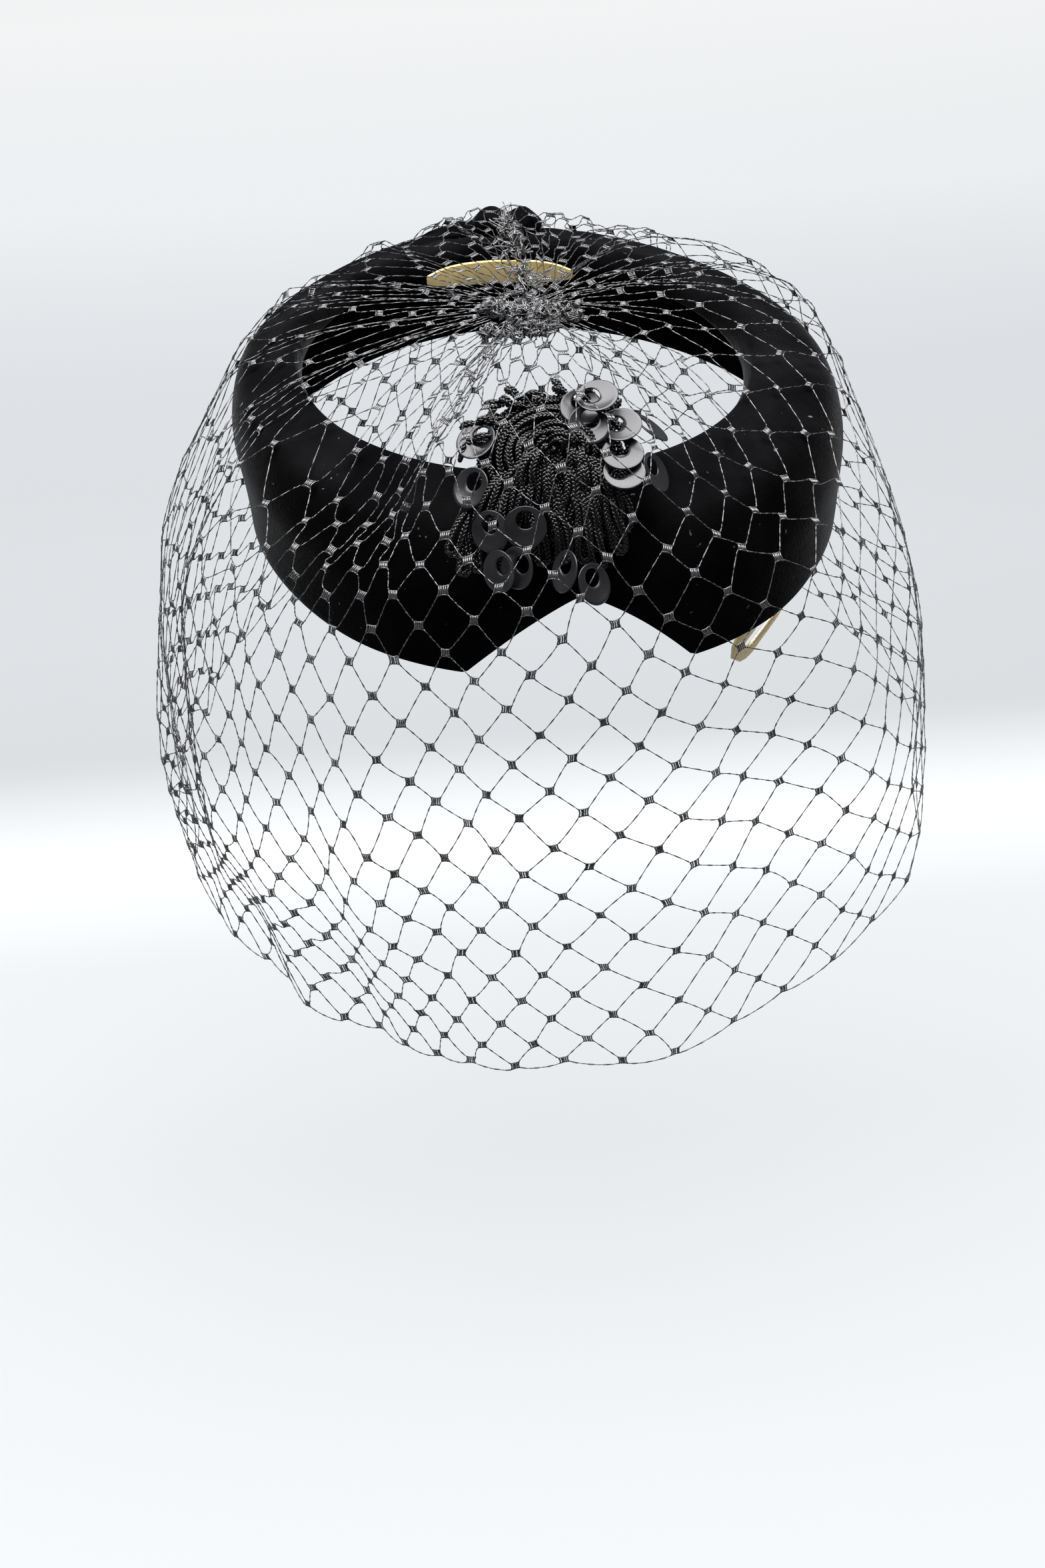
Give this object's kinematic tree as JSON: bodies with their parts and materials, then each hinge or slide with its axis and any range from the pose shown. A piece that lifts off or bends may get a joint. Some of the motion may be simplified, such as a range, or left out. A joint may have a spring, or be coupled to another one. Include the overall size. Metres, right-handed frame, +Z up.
{
  "type": "ring hat with birdcage veil (fascinator)",
  "caption": "Open-crowned velvet ring hat with a notched front, a looped cord and paillette trim, a back knot and a birdcage veil that hangs to the chin.",
  "frame": {"origin": "middle of the ring, level with its crest, where the head carries the hat", "axes": "+Z up as worn, -Y the front, +X to the right as seen from the front"},
  "size_m": [0.2572, 0.2503, 0.2217],
  "materials": {
    "velvet": "black cotton velvet, deep matt pile with a grey sheen where it turns away",
    "cord": "black rayon plaited cord with a satin lustre",
    "paillette": "black satin-gloss discs",
    "grip_plastic": "clear plastic, yellowed with age",
    "veil_net": "black French net of fine twisted thread with small square knots"
  },
  "bodies": {
    "root": {"velvet_ring": "velvet", "back_knot": "velvet", "cord_pompom": "cord", "paillette_01": "paillette", "paillette_02": "paillette", "paillette_03": "paillette", "paillette_04": "paillette", "paillette_05": "paillette", "paillette_06": "paillette", "paillette_07": "paillette", "paillette_08": "paillette", "paillette_09": "paillette", "paillette_10": "paillette", "paillette_11": "paillette", "paillette_12": "paillette", "paillette_13": "paillette", "paillette_14": "paillette", "paillette_15": "paillette", "paillette_16": "paillette", "back_grip": "grip_plastic", "side_grip": "grip_plastic", "veil": "veil_net"}
  },
  "joints": []
}
